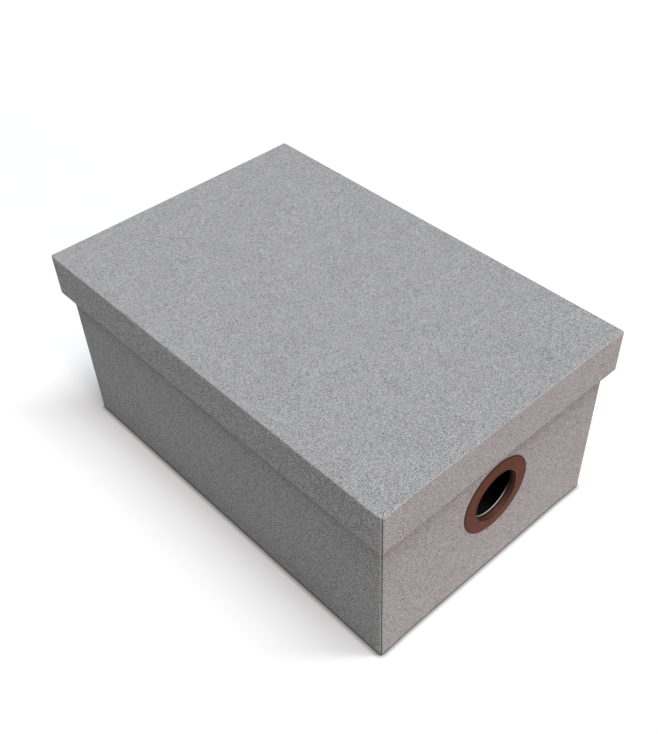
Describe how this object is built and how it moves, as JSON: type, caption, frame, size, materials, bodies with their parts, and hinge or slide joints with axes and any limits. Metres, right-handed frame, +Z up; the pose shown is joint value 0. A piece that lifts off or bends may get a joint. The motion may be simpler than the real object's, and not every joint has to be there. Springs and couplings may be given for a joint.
{
  "type": "archival box",
  "caption": "Rectangular covered board box with a lift-off lid and a finger hole with a metal eyelet in one short end, for storing papers on a shelf.",
  "frame": {"origin": "centre of the underside of the closed box", "axes": "+Z up, Y along the length with the eyelet end facing -Y, X across the width"},
  "size_m": [0.23, 0.35, 0.159],
  "materials": {
    "covering": "matte",
    "greyboard": "matte",
    "stay_tape": "matte",
    "lining": "matte",
    "eyelet_metal": "satin"
  },
  "bodies": {
    "box": {"base_board": "greyboard", "front_board": "greyboard", "rear_board": "greyboard", "left_board": "greyboard", "right_board": "greyboard", "front_left_stay": "stay_tape", "front_right_stay": "stay_tape", "rear_left_stay": "stay_tape", "rear_right_stay": "stay_tape", "left_cover": "covering", "right_cover": "covering", "front_cover": "covering", "rear_cover": "covering", "base_sheet": "covering", "wall_lining": "lining", "floor_lining": "lining", "eyelet": "eyelet_metal", "eyelet_washer": "eyelet_metal"},
    "lid": {"lid_top_board": "greyboard", "lid_front_board": "greyboard", "lid_rear_board": "greyboard", "lid_left_board": "greyboard", "lid_right_board": "greyboard", "lid_front_left_stay": "stay_tape", "lid_front_right_stay": "stay_tape", "lid_rear_left_stay": "stay_tape", "lid_rear_right_stay": "stay_tape", "lid_cover": "covering", "lid_lining": "lining"}
  },
  "joints": [
    {"name": "lid_lift", "type": "slide", "parent": "box", "child": "lid", "axis": [0, 0, 1], "range_m": [0, 0.1]}
  ]
}
